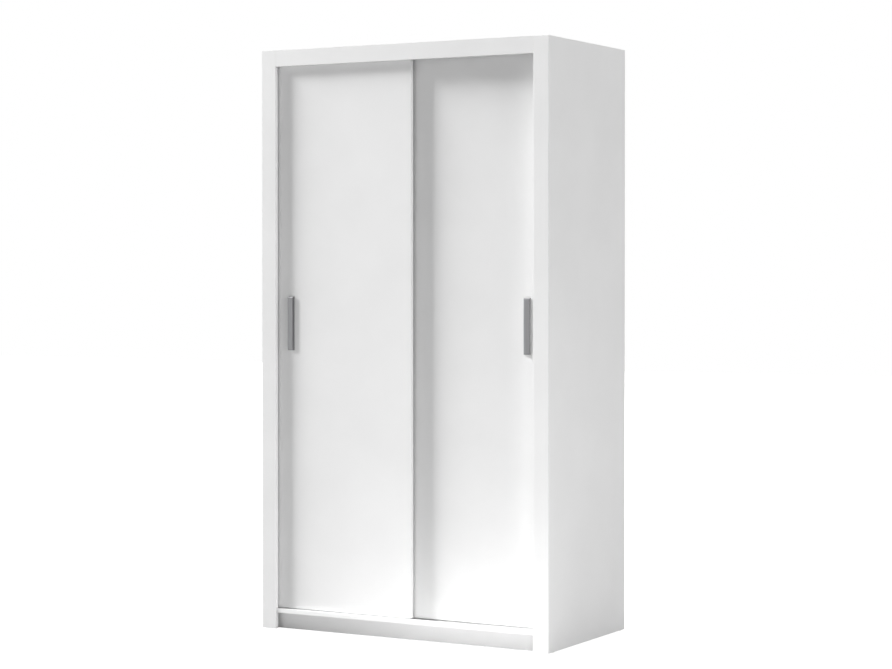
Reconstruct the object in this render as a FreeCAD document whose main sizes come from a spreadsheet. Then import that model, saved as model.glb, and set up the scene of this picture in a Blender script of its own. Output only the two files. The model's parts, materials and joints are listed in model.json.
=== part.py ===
import FreeCAD, Part
import Sketcher
import os
import re

# Two-door sliding wardrobe, flat-packed melamine board. Millimetres, +Z up, front towards -Y.
# The origin is on the floor, under the middle of the carcass.

Vector = FreeCAD.Vector
Rotation = FreeCAD.Rotation

SIZES = {
    # the whole
    "width": 1200,
    "depth": 630,
    "height": 2160,
    # boards, by thickness
    "side_board": 16,
    "top_board": 16,
    "bottom_board": 16,
    "divider_board": 16,
    "shelf_board": 16,
    "frame_board": 16,
    "plinth_board": 16,
    "door_board": 16,
    "back_board": 3,
    # front frame
    "stile_width": 60,
    "header_height": 60,
    # base
    "glide_height": 2,
    "glide_radius": 7,
    "glide_inset": 30,
    "middle_glide_inset": 60,
    "base_height": 60,
    "plinth_recess": 31,
    "rear_plinth_inset": 14,
    "bottom_setback": 3,
    "rebate_width": 10,
    "back_gap": 2,
    # doors
    "door_gap": 3,
    "door_overlap": 69,
    "door_end_gap": 3,
    "door_lift": 2,
    "door_tuck": 16,
    # rollers
    "wheel_radius": 13,
    "wheel_width": 5,
    "wheel_web": 3,
    "wheel_rim": 2.5,
    "wheel_play": 0.2,
    "hub_radius": 4,
    "axle_radius": 2,
    "axle_play": 0.05,
    "housing_length": 60,
    "housing_height": 34,
    "housing_depth": 10,
    "housing_slot": 6,
    "slot_play": 1.5,
    "roller_inset": 60,
    "roller_screw_reach": 22,
    # tracks
    "track_wall": 1,
    "track_height": 7,
    "wheel_channel": 7,
    "rail_wall": 1.5,
    "rail_height": 20,
    "guide_channel": 9,
    # top guides
    "guide_length": 40,
    "guide_depth": 20,
    "guide_nose": 6,
    "guide_nose_length": 30,
    "guide_reach": 14,
    # handles
    "handle_width": 25,
    "handle_height": 200,
    "handle_proud": 7,
    "handle_clearance": 1,
    "handle_foot": 10,
    "handle_lip": 2.2,
    "handle_end_wall": 4,
    "handle_bevel": 4,
    "handle_bevel_depth": 2,
    "handle_middle": 1143.5,
    "handle_inset_left": 100,
    "handle_inset_right": 86,
    "handle_screw_spacing": 160,
    "handle_screw_bite": 5,
    # interior
    "interior_gap": 13,
    "shelf_setback": 15,
    "shelf_play": 0.5,
    "hat_space": 278,
    "lowest_shelf_height": 442,
    "pin_inset": 60,
    "pin_radius": 2.5,
    "pin_web": 1,
    "pin_hole_pitch": 32,
    "pin_tongue": 8,
    "rail_drop": 60,
    "tube_width": 15,
    "tube_height": 30,
    "tube_wall": 1.2,
    "tube_play": 0.1,
    "socket_width": 22,
    "socket_height": 56,
    "socket_depth": 5,
    "socket_floor": 2,
    "socket_screw_reach": 21,
    # fastenings
    "fitting_inset": 60,
    "fitting_step": 40,
    "stile_dowel_inset": 120,
    "dowel_radius": 4,
    "dowel_short": 10,
    "dowel_long": 20,
    "dowel_spare": 1,
    "bolt_thread_radius": 2.5,
    "bolt_thread_length": 10,
    "bolt_shank_radius": 3.4,
    "bolt_neck_radius": 2,
    "bolt_length": 34,
    "bolt_head_length": 3,
    "cam_radius": 7.5,
    "cam_depth": 12.4,
    "screw_radius": 1.5,
    "screw_length": 14,
    "screw_head_radius": 3,
    "screw_head_depth": 1.5,
    "pan_screw_radius": 1.75,
    "pan_screw_length": 13,
    "pan_head_radius": 3.5,
    "pan_head_height": 2.4,
    "machine_screw_radius": 2,
    "machine_head_radius": 4,
    "machine_head_depth": 2.2,
    "nail_radius": 0.8,
    "nail_length": 20,
    "nail_head_radius": 1.6,
    "nail_head_depth": 0.7,
    "glide_pin_radius": 1,
    "glide_pin_length": 12,
    "bumper_radius": 5,
    "bumper_clearance": 0.3,
    "bumper_inset": 300,
    "bracket_width": 20,
    "bracket_leg": 40,
    "bracket_wall": 2,
    "bracket_screw_reach": 24,
    "wall_hole_radius": 3,
    "wall_hole_drop": 26,
    "wall_hole_spacing": 600,
}

doc = FreeCAD.newDocument("SlidingDoorWardrobe")
sheet = doc.addObject("Spreadsheet::Sheet", "Sizes")
for row, (alias, value) in enumerate(SIZES.items(), 1):
    sheet.set(f"A{row}", str(value))
    sheet.setAlias(f"A{row}", alias)
doc.recompute()

# Places that several pieces share, as formulas in the sheet's own words.
front = "(-depth / 2)"
back = "(depth / 2)"
inner = "(width / 2 - side_board)"
side_middle = "(width / 2 - side_board / 2)"
opening = "(width / 2 - stile_width)"
frame_back = f"({front} + frame_board)"
back_front = f"({back} - back_board)"
deck = "(glide_height + base_height)"
floor = f"({deck} + bottom_board)"
ceiling = "(height - top_board)"
door_width = f"({inner} + door_overlap / 2 - door_end_gap)"
door_bottom = f"({floor} + door_lift)"
door_top = "(height - header_height + door_tuck)"
door_pitch = "(door_board + handle_proud + handle_clearance)"
door_faces = [f"({frame_back} + door_gap)", f"({frame_back} + door_gap + {door_pitch})"]
guide_planes = [f"({face} + door_board / 2)" for face in door_faces]
wheel_planes = [f"({face} + door_board - housing_depth / 2)" for face in door_faces]
wheel_level = f"({floor} - track_height + track_wall + wheel_play + wheel_radius)"
rail_bottom = f"({ceiling} - rail_height)"
interior_front = f"({door_faces[1]} + door_board + interior_gap)"
interior_depth = f"({back_front} - {interior_front})"
bay_width = f"({inner} - divider_board / 2)"
pin_depth = "((divider_board - pin_web) / 2)"

# Turns that bring a fastening's own +X to the direction it is driven in.
along = {
    "+X": Rotation(),
    "-X": Rotation(Vector(0, 0, 1), 180),
    "+Y": Rotation(Vector(0, 0, 1), 90),
    "-Y": Rotation(Vector(0, 0, 1), -90),
    "+Z": Rotation(Vector(0, 1, 0), -90),
    "-Z": Rotation(Vector(0, 1, 0), 90),
}

nodes = {}
blanks = {}
cutters = {}
groups = {}


def formula(text):
    return re.sub(r"[a-z_]+", lambda word: "Sizes." + word.group(0), str(text))


def number(text):
    return float(sheet.evalExpression(formula(text)))


def bind(thing, **formulas):
    for name, text in formulas.items():
        thing.setExpression(name, formula(text))
    return thing


def place(thing, x=0, y=0, z=0, turn=None):
    if turn:
        thing.Placement = FreeCAD.Placement(Vector(), turn)
    for axis, text in zip("xyz", (x, y, z)):
        thing.setExpression(f"Placement.Base.{axis}", formula(text))
    return thing


def box(name, x, y, z, length, width, height):
    solid = doc.addObject("Part::Box", name)
    bind(solid, Length=length, Width=width, Height=height)
    return place(solid, x, y, z)


def rod(name, radius, length, axis="+X", x=0, y=0, z=0):
    # Part::Cylinder stands along +Z, so its own turn is the fastening turn after one from Z to X.
    solid = doc.addObject("Part::Cylinder", name)
    bind(solid, Radius=radius, Height=length)
    return place(solid, x, y, z, along[axis] * Rotation(Vector(0, 1, 0), 90))


def join(name, *solids):
    whole = doc.addObject("Part::MultiFuse", name)
    whole.Shapes = list(solids)
    return whole


def cut(name, base, tools):
    whole = doc.addObject("Part::Cut", name)
    whole.Base = base
    whole.Tool = gather(name + "Tools", tools)
    return whole


def gather(name, solids):
    together = doc.addObject("Part::Compound", name)
    together.Links = list(solids)
    return together


def copy(master, x, y, z, turn=None):
    link = doc.addObject("App::Link", master.Name + "Copy")
    link.LinkedObject = master
    return place(link, x, y, z, turn)


def outline(body, name, role, points):
    # A closed outline of straight edges, with each corner held at two formulas from the origin.
    sketch = body.newObject("Sketcher::SketchObject", name)
    plane = next(feature for feature in body.Origin.OriginFeatures if feature.Role == role)
    sketch.AttachmentSupport = [(plane, "")]
    sketch.MapMode = "FlatFace"
    corners = [Vector(number(x), number(y), 0) for x, y in points]
    for start, end in zip(corners, corners[1:] + corners[:1]):
        sketch.addGeometry(Part.LineSegment(start, end), False)
    for i, (x, y) in enumerate(points):
        sketch.addConstraint(Sketcher.Constraint("Coincident", i - 1 if i else len(points) - 1, 2, i, 1))
        for kind, text, value in (("DistanceX", x, corners[i].x), ("DistanceY", y, corners[i].y)):
            index = sketch.addConstraint(Sketcher.Constraint(kind, -1, 1, i, 1, value))
            sketch.setExpression(f"Constraints[{index}]", formula(text))
    return sketch


def turned(name, points):
    # A solid of revolution about its own X axis, from an outline of (distance along, radius).
    body = doc.addObject("PartDesign::Body", name)
    sketch = outline(body, name + "Profile", "XY_Plane", points)
    revolution = body.newObject("PartDesign::Revolution", name + "Turn")
    revolution.Profile = sketch
    revolution.ReferenceAxis = (sketch, ["H_Axis"])
    revolution.Angle = 360
    return body


def plain_rod(name, start, end, radius):
    return turned(name, [(start, 0), (end, 0), (end, radius), (start, radius)])


def board(label, x, y, z, length, width, height):
    blanks[label] = box(label + "Blank", x, y, z, length, width, height)
    cutters[label] = []


def fasten(group, master, hole, boards, x, y, z, turn):
    # One fastening and the hole that it fills, which is drilled through every board it crosses.
    groups.setdefault(group, []).append(copy(master, x, y, z, along[turn]))
    drill = copy(hole, x, y, z, along[turn])
    for label in boards:
        cutters[label].append(drill)


# ---------------------------------------------------------------- fastenings and their drills

dowel = plain_rod("Dowel", "-dowel_short", "dowel_long", "dowel_radius")
dowel_hole = plain_rod(
    "DowelHole", "-dowel_short - dowel_spare", "dowel_long + dowel_spare", "dowel_radius"
)

cam_bolt = turned(
    "CamBolt",
    [
        ("-bolt_thread_length", 0),
        ("bolt_length", 0),
        ("bolt_length", "bolt_shank_radius"),
        ("bolt_length - bolt_head_length", "bolt_shank_radius"),
        ("bolt_length - bolt_head_length", "bolt_neck_radius"),
        ("bolt_length - cam_radius", "bolt_neck_radius"),
        ("bolt_length - cam_radius", "bolt_shank_radius"),
        (0, "bolt_shank_radius"),
        (0, "bolt_thread_radius"),
        ("-bolt_thread_length", "bolt_thread_radius"),
    ],
)
cam_bolt_hole = turned(
    "CamBoltHole",
    [
        ("-bolt_thread_length", 0),
        ("bolt_length", 0),
        ("bolt_length", "bolt_shank_radius"),
        (0, "bolt_shank_radius"),
        (0, "bolt_thread_radius"),
        ("-bolt_thread_length", "bolt_thread_radius"),
    ],
)
cam_body = rod("CamBody", "cam_radius", "cam_depth", "+Z", "bolt_length", 0, "-top_board / 2")
cam_mouth = rod("CamMouth", "bolt_shank_radius", "2 * cam_radius", "+X", "bolt_length - 2 * cam_radius")
cam = cut("Cam", cam_body, [cam_mouth])
cam_hole = gather("CamHole", [cam_body])

screw = turned(
    "Screw",
    [
        (0, 0),
        ("screw_length", 0),
        ("screw_length - screw_radius", "screw_radius"),
        ("screw_head_depth", "screw_radius"),
        (0, "screw_head_radius"),
    ],
)
pan_screw = turned(
    "PanScrew",
    [
        ("-pan_head_height", 0),
        ("pan_screw_length", 0),
        ("pan_screw_length - pan_screw_radius", "pan_screw_radius"),
        (0, "pan_screw_radius"),
        (0, "pan_head_radius"),
        ("-pan_head_height", "pan_head_radius"),
    ],
)
machine_screw = turned(
    "MachineScrew",
    [
        (0, 0),
        ("door_board + handle_screw_bite", 0),
        ("door_board + handle_screw_bite", "machine_screw_radius"),
        ("machine_head_depth", "machine_screw_radius"),
        (0, "machine_head_radius"),
    ],
)
nail = turned(
    "Nail",
    [
        (0, 0),
        ("nail_length", 0),
        ("nail_length - 2 * nail_radius", "nail_radius"),
        ("nail_head_depth", "nail_radius"),
        ("nail_head_depth", "nail_head_radius"),
        (0, "nail_head_radius"),
    ],
)
glide = turned(
    "Glide",
    [
        (0, 0),
        ("glide_height + glide_pin_length", 0),
        ("glide_height + glide_pin_length", "glide_pin_radius"),
        ("glide_height", "glide_pin_radius"),
        ("glide_height", "glide_radius"),
        (0, "glide_radius"),
    ],
)
bumper = plain_rod("Bumper", 0, "door_end_gap - bumper_clearance", "bumper_radius")
shelf_pin = join(
    "ShelfPin",
    rod("PinShank", "pin_radius", pin_depth, "-X"),
    box("PinTongue", 0, "-pin_tongue / 2", "-pin_radius", "pin_tongue", "pin_tongue", "2 * pin_radius"),
)
pin_hole = plain_rod("PinHole", f"-{pin_depth}", 0, "pin_radius")

# ---------------------------------------------------------------- carcass boards

board(
    "top_panel", f"-{inner}", frame_back, ceiling,
    f"2 * {inner}", f"{back_front} - {frame_back}", "top_board",
)
board(
    "bottom_panel", f"-{inner}", f"{front} + bottom_setback", deck,
    f"2 * {inner}", f"{back_front} - {front} - bottom_setback", "bottom_board",
)
board(
    "centre_divider", "-divider_board / 2", interior_front, floor,
    "divider_board", interior_depth, f"{ceiling} - {floor}",
)
board(
    "header", f"-{opening}", front, "height - header_height",
    f"2 * {opening}", "frame_board", "header_height",
)
board(
    "front_plinth", f"-{inner}", f"{front} + plinth_recess", "glide_height",
    f"2 * {inner}", "plinth_board", "base_height",
)
rear_plinth_front = f"({back_front} - rear_plinth_inset - plinth_board)"
board(
    "rear_plinth", f"-{inner}", rear_plinth_front, "glide_height",
    f"2 * {inner}", "plinth_board", "base_height",
)
plinth_back = f"({front} + plinth_recess + plinth_board)"
board(
    "middle_plinth", "-plinth_board / 2", plinth_back, "glide_height",
    "plinth_board", f"{rear_plinth_front} - {plinth_back}", "base_height",
)
back_height = f"({ceiling} + top_board - back_board - {deck} - back_board)"
for label, x in (
    ("back_left", f"-{inner} - rebate_width"),
    ("back_right", "back_gap / 2"),
):
    board(
        label, x, back_front, f"{deck} + back_board",
        f"{inner} + rebate_width - back_gap / 2", "back_board", back_height,
    )
for name, sign, side_x, stile_x, rebate_x in (
    ("left", "-", "-width / 2", "-width / 2", f"-{inner} - rebate_width"),
    ("right", "+", inner, opening, inner),
):
    board(
        f"side_{name}", side_x, frame_back, "glide_height",
        "side_board", f"{back} - {frame_back}", "height - glide_height",
    )
    rebate = box(
        f"Rebate_{name}", rebate_x, back_front, f"{deck} + back_board",
        "rebate_width", "back_board", back_height,
    )
    cutters[f"side_{name}"].append(rebate)
    board(
        f"stile_{name}", stile_x, front, "glide_height",
        "stile_width", "frame_board", "height - glide_height",
    )
    notch_x = f"-{inner}" if sign == "-" else opening
    notch = box(
        f"StileNotch_{name}", notch_x, f"{front} + bottom_setback", deck,
        "stile_width - side_board", "frame_board - bottom_setback", "bottom_board",
    )
    cutters["bottom_panel"].append(notch)

# Shelves lie on four pins each. The pins stand in rows of holes, one step above and below each pin.
shelf_depth = f"({interior_depth} - shelf_setback)"
hat_level = f"({ceiling} - hat_space - shelf_board)"
shelf_rows = [("hat_shelf", "left", hat_level)]
right_shelves = 5
for step in range(right_shelves):
    level = f"(lowest_shelf_height + {step / (right_shelves - 1)} * ({hat_level} - lowest_shelf_height))"
    shelf_rows.append((f"shelf_{step + 1}", "right", level))
for label, bay, level in shelf_rows:
    bay_start, bay_end, outer_board = (
        (f"-{inner}", "-divider_board / 2", "side_left")
        if bay == "left"
        else ("divider_board / 2", inner, "side_right")
    )
    board(
        label, f"{bay_start} + shelf_play", f"{interior_front} + shelf_setback", level,
        f"{bay_width} - 2 * shelf_play", shelf_depth, "shelf_board",
    )
    walls = [(bay_start, "+X"), (bay_end, "-X")]
    owners = [outer_board, "centre_divider"] if bay == "left" else ["centre_divider", outer_board]
    pin_front = f"{interior_front} + shelf_setback + pin_inset"
    pin_back = f"{back_front} - pin_inset"
    for (wall, turn), owner in zip(walls, owners):
        for y in (pin_front, pin_back):
            z = f"{level} - pin_radius"
            fasten("shelf_pins", shelf_pin, pin_hole, [owner], wall, y, z, turn)
            for step in (-1, 1):
                spare = copy(pin_hole, wall, y, f"{z} + {step} * pin_hole_pitch", along[turn])
                cutters[owner].append(spare)

# ---------------------------------------------------------------- carcass fastenings

fitting_rows = ["fitting_inset", f"{interior_depth} / 2", f"{interior_depth} - fitting_inset"]
dowel_rows = ["fitting_inset + fitting_step", f"{interior_depth} - fitting_inset - fitting_step"]
across_panels = [
    ("top_panel", f"{ceiling} + top_board / 2"),
    ("bottom_panel", f"{deck} + bottom_board / 2"),
]
for label, level in across_panels:
    for owner, x, turn in (("side_left", f"-{inner}", "+X"), ("side_right", inner, "-X")):
        for row in fitting_rows:
            y = f"{interior_front} + {row}"
            fasten("cam_bolts", cam_bolt, cam_bolt_hole, [owner, label], x, y, level, turn)
            fasten("cam_locks", cam, cam_hole, [label], x, y, level, turn)
        for row in dowel_rows:
            y = f"{interior_front} + {row}"
            fasten("panel_dowels", dowel, dowel_hole, [owner, label], x, y, level, turn)

for label, level, turn in (("top_panel", ceiling, "-Z"), ("bottom_panel", floor, "+Z")):
    for row in (fitting_rows[0], fitting_rows[-1]):
        y = f"{interior_front} + {row}"
        fasten("cam_bolts", cam_bolt, cam_bolt_hole, [label, "centre_divider"], 0, y, level, turn)
        fasten("cam_locks", cam, cam_hole, ["centre_divider"], 0, y, level, turn)
    for row in dowel_rows:
        y = f"{interior_front} + {row}"
        fasten("panel_dowels", dowel, dowel_hole, [label, "centre_divider"], 0, y, level, turn)

plinth_levels = [f"glide_height + base_height * {share}" for share in (0.25, 0.75)]
for z in plinth_levels:
    for label, y in (
        ("front_plinth", f"{front} + plinth_recess + plinth_board / 2"),
        ("rear_plinth", f"{rear_plinth_front} + plinth_board / 2"),
    ):
        fasten("plinth_dowels", dowel, dowel_hole, ["side_left", label], f"-{inner}", y, z, "+X")
        fasten("plinth_dowels", dowel, dowel_hole, ["side_right", label], inner, y, z, "-X")
    for label, y, turn in (("front_plinth", plinth_back, "+Y"), ("rear_plinth", rear_plinth_front, "-Y")):
        fasten("plinth_dowels", dowel, dowel_hole, [label, "middle_plinth"], 0, y, z, turn)

stile_dowels = 6
for name, sign, turn in (("left", "-", "+X"), ("right", "+", "-X")):
    for step in range(stile_dowels):
        z = f"stile_dowel_inset + {step} * (height - 2 * stile_dowel_inset) / {stile_dowels - 1}"
        owners = [f"stile_{name}", f"side_{name}"]
        fasten("frame_dowels", dowel, dowel_hole, owners, f"{sign}{side_middle}", frame_back, z, "+Y")
    for share in (0.25, 0.6):
        z = f"height - header_height * (1 - {share})"
        y = f"{front} + frame_board / 2"
        owners = [f"stile_{name}", "header"]
        fasten("frame_dowels", dowel, dowel_hole, owners, f"{sign}{opening}", y, z, turn)
for share in (-0.75, -0.25, 0.25, 0.75):
    x = f"{share} * {opening}"
    z = f"{ceiling} + top_board / 2"
    fasten("frame_dowels", dowel, dowel_hole, ["header", "top_panel"], x, frame_back, z, "+Y")

# The back is nailed all round and to the divider, each half along its own line.
nail_steps = 8
nail_lines = [
    ("back_left", "side_left", f"-{inner} - rebate_width / 2"),
    ("back_left", "centre_divider", "-divider_board / 4"),
    ("back_right", "centre_divider", "divider_board / 4"),
    ("back_right", "side_right", f"{inner} + rebate_width / 2"),
]
for half, owner, x in nail_lines:
    for step in range(nail_steps):
        z = f"{floor} + ({ceiling} - {floor}) * {(step + 0.5) / nail_steps}"
        fasten("back_nails", nail, nail, [half, owner], x, back, z, "-Y")
for half, sign in (("back_left", "-"), ("back_right", "+")):
    for owner, z in across_panels:
        for share in (0.25, 0.75):
            fasten("back_nails", nail, nail, [half, owner], f"{sign}{share} * {inner}", back, z, "-Y")

for y in (f"{frame_back} + glide_inset", f"{back} - glide_inset"):
    for owner, sign in (("side_left", "-"), ("side_right", "+")):
        fasten("floor_glides", glide, glide, [owner], f"{sign}{side_middle}", y, 0, "+Z")
for y in (f"{plinth_back} + middle_glide_inset", f"{rear_plinth_front} - middle_glide_inset"):
    fasten("floor_glides", glide, glide, ["middle_plinth"], 0, y, 0, "+Z")

# ---------------------------------------------------------------- tracks

for label, plane in zip(("bottom_track_front", "bottom_track_rear"), wheel_planes):
    track_y = f"{plane} - wheel_channel / 2 - track_wall"
    blanks[label] = box(
        label + "Blank", f"-{inner}", track_y, f"{floor} - track_height",
        f"2 * {inner}", "wheel_channel + 2 * track_wall", "track_height",
    )
    channel = box(
        label + "Channel", f"-{inner}", f"{plane} - wheel_channel / 2",
        f"{floor} - track_height + track_wall",
        f"2 * {inner}", "wheel_channel", "track_height - track_wall",
    )
    cutters[label] = [channel]
    cutters["bottom_panel"].append(blanks[label])

# The top track is one extrusion with two channels, screwed up between them.
track_front = f"({guide_planes[0]} - guide_channel / 2 - rail_wall)"
board(
    "top_track", f"-{inner}", track_front, rail_bottom,
    f"2 * {inner}", f"{door_pitch} + guide_channel + 2 * rail_wall", "rail_height",
)
channel_starts = [
    (f"{guide_planes[0]} - guide_channel / 2", "guide_channel"),
    (f"{guide_planes[0]} + guide_channel / 2 + rail_wall", f"{door_pitch} - guide_channel - 2 * rail_wall"),
    (f"{guide_planes[1]} - guide_channel / 2", "guide_channel"),
]
for index, (y, channel_width) in enumerate(channel_starts, 1):
    channel = box(
        f"TopChannel{index}", f"-{inner}", y, rail_bottom,
        f"2 * {inner}", channel_width, "rail_height - rail_wall",
    )
    cutters["top_track"].append(channel)
track_middle = f"({guide_planes[0]} + {door_pitch} / 2)"
for share in (-0.9, -0.3, 0.3, 0.9):
    fasten(
        "top_track_screws", pan_screw, pan_screw, ["top_track", "top_panel"],
        f"{share} * {inner}", track_middle, f"{ceiling} - rail_wall", "+Z",
    )

# ---------------------------------------------------------------- rail, brackets, bumpers


def stadium(name, x, y, z, length, width, height):
    # An upright oval bar along X: a box with a half-round end above and below.
    reach = f"({height} - {width}) / 2"
    flat = box(name + "Flat", x, f"{y} - {width} / 2", f"{z} - {reach}", length, width, f"2 * ({reach})")
    ends = [
        rod(name + end, f"{width} / 2", length, "+X", x, y, f"{z} {end_sign} {reach}")
        for end, end_sign in (("Top", "+"), ("Foot", "-"))
    ]
    return join(name, flat, *ends)


rail_level = f"({hat_level} - rail_drop)"
rail_y = f"({interior_front} + {interior_depth} / 2)"
rail_start = f"(-{inner} + socket_floor)"
rail_length = f"({bay_width} - 2 * socket_floor)"
tube = stadium("Tube", rail_start, rail_y, rail_level, rail_length, "tube_width", "tube_height")
tube_bore = stadium(
    "TubeBore", rail_start, rail_y, rail_level, rail_length,
    "(tube_width - 2 * tube_wall)", "(tube_height - 2 * tube_wall)",
)
nodes["hanging_rail"] = cut("HangingRail", tube, [tube_bore])
socket_plate = stadium("SocketPlate", 0, 0, 0, "socket_depth", "socket_width", "socket_height")
socket_seat = stadium(
    "SocketSeat", "socket_floor", 0, 0, "socket_depth",
    "(tube_width + 2 * tube_play)", "(tube_height + 2 * tube_play)",
)
socket_screws = [copy(screw, "socket_depth", 0, f"{sign}socket_screw_reach", along["-X"]) for sign in "+-"]
rail_socket = cut("RailSocket", socket_plate, [socket_seat, *socket_screws])
for owner, x, turn, screw_turn, sign in (
    ("side_left", f"-{inner}", "+X", "-X", "+"),
    ("centre_divider", "-divider_board / 2", "-X", "+X", "-"),
):
    groups.setdefault("rail_sockets", []).append(copy(rail_socket, x, rail_y, rail_level, along[turn]))
    for end in "+-":
        fasten(
            "rail_socket_screws", screw, screw, [owner],
            f"{x} {sign} socket_depth", rail_y, f"{rail_level} {end} socket_screw_reach", screw_turn,
        )

bracket = cut(
    "Bracket",
    join(
        "BracketLegs",
        box(
            "BracketTopLeg", "-bracket_width / 2", "-bracket_leg", "-bracket_wall",
            "bracket_width", "bracket_leg", "bracket_wall",
        ),
        box(
            "BracketWallLeg", "-bracket_width / 2", "-bracket_wall", "-bracket_leg",
            "bracket_width", "bracket_wall", "bracket_leg",
        ),
    ),
    [
        rod(
            "BracketWallHole", "wall_hole_radius", "2 * bracket_wall", "-Y",
            0, "bracket_wall / 2", "-wall_hole_drop",
        ),
        copy(pan_screw, 0, "-bracket_screw_reach", "-bracket_wall", along["+Z"]),
    ],
)
wall_hole = plain_rod("WallHole", "-back_board", "2 * back_board", "wall_hole_radius")
for half, sign in (("back_left", "-"), ("back_right", "+")):
    x = f"{sign}wall_hole_spacing / 2"
    groups.setdefault("wall_brackets", []).append(copy(bracket, x, back_front, ceiling))
    fasten(
        "wall_bracket_screws", pan_screw, pan_screw, ["top_panel"],
        x, f"{back_front} - bracket_screw_reach", f"{ceiling} - bracket_wall", "+Z",
    )
    cutters[half].append(copy(wall_hole, x, back, f"{ceiling} - wall_hole_drop", along["-Y"]))

for plane in guide_planes:
    for z in (f"{door_bottom} + bumper_inset", f"{door_top} - bumper_inset"):
        for x, turn in ((f"-{inner}", "+X"), (inner, "-X")):
            groups.setdefault("door_bumpers", []).append(copy(bumper, x, plane, z, along[turn]))

# ---------------------------------------------------------------- doors

wheel = turned(
    "Wheel",
    [
        ("-wheel_width / 2", "axle_radius + axle_play"),
        ("wheel_width / 2", "axle_radius + axle_play"),
        ("wheel_width / 2", "hub_radius"),
        ("wheel_web / 2", "hub_radius"),
        ("wheel_web / 2", "wheel_radius - wheel_rim"),
        ("wheel_width / 2", "wheel_radius - wheel_rim"),
        ("wheel_width / 2", "wheel_radius"),
        ("-wheel_width / 2", "wheel_radius"),
        ("-wheel_width / 2", "wheel_radius - wheel_rim"),
        ("-wheel_web / 2", "wheel_radius - wheel_rim"),
        ("-wheel_web / 2", "hub_radius"),
        ("-wheel_width / 2", "hub_radius"),
    ],
)
axle = plain_rod("Axle", "-housing_depth / 2", "housing_depth / 2", "axle_radius")

# A roller housing, about the wheel's middle: let into the door's back, open below for the wheel.
housing_bottom = f"({door_bottom} - {wheel_level})"
housing_blank = box(
    "HousingBlank", "-housing_length / 2", "-housing_depth / 2", housing_bottom,
    "housing_length", "housing_depth", "housing_height",
)
slot_reach = "(wheel_radius + slot_play)"
housing_slot = box(
    "HousingSlot", f"-{slot_reach}", "-housing_slot / 2", housing_bottom,
    f"2 * {slot_reach}", "housing_slot", f"{slot_reach} - {housing_bottom}",
)
screw_level = f"{housing_bottom} + housing_height / 2"
housing_screws = [
    copy(screw, f"{sign}roller_screw_reach", "housing_depth / 2", screw_level, along["-Y"]) for sign in "+-"
]
housing = cut("Housing", housing_blank, [housing_slot, copy(axle, 0, 0, 0, along["+Y"]), *housing_screws])

# A top guide, about the middle of the door's top edge: a block let in, with a nose for the track.
guide_block = box(
    "GuideBlock", "-guide_length / 2", "-housing_depth / 2", "-guide_depth",
    "guide_length", "housing_depth", "guide_depth",
)
guide_nose = box(
    "GuideNose", "-guide_nose_length / 2", "-guide_nose / 2", 0,
    "guide_nose_length", "guide_nose", f"{rail_bottom} + guide_reach - {door_top}",
)
guide = join("Guide", guide_block, guide_nose)

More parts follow.
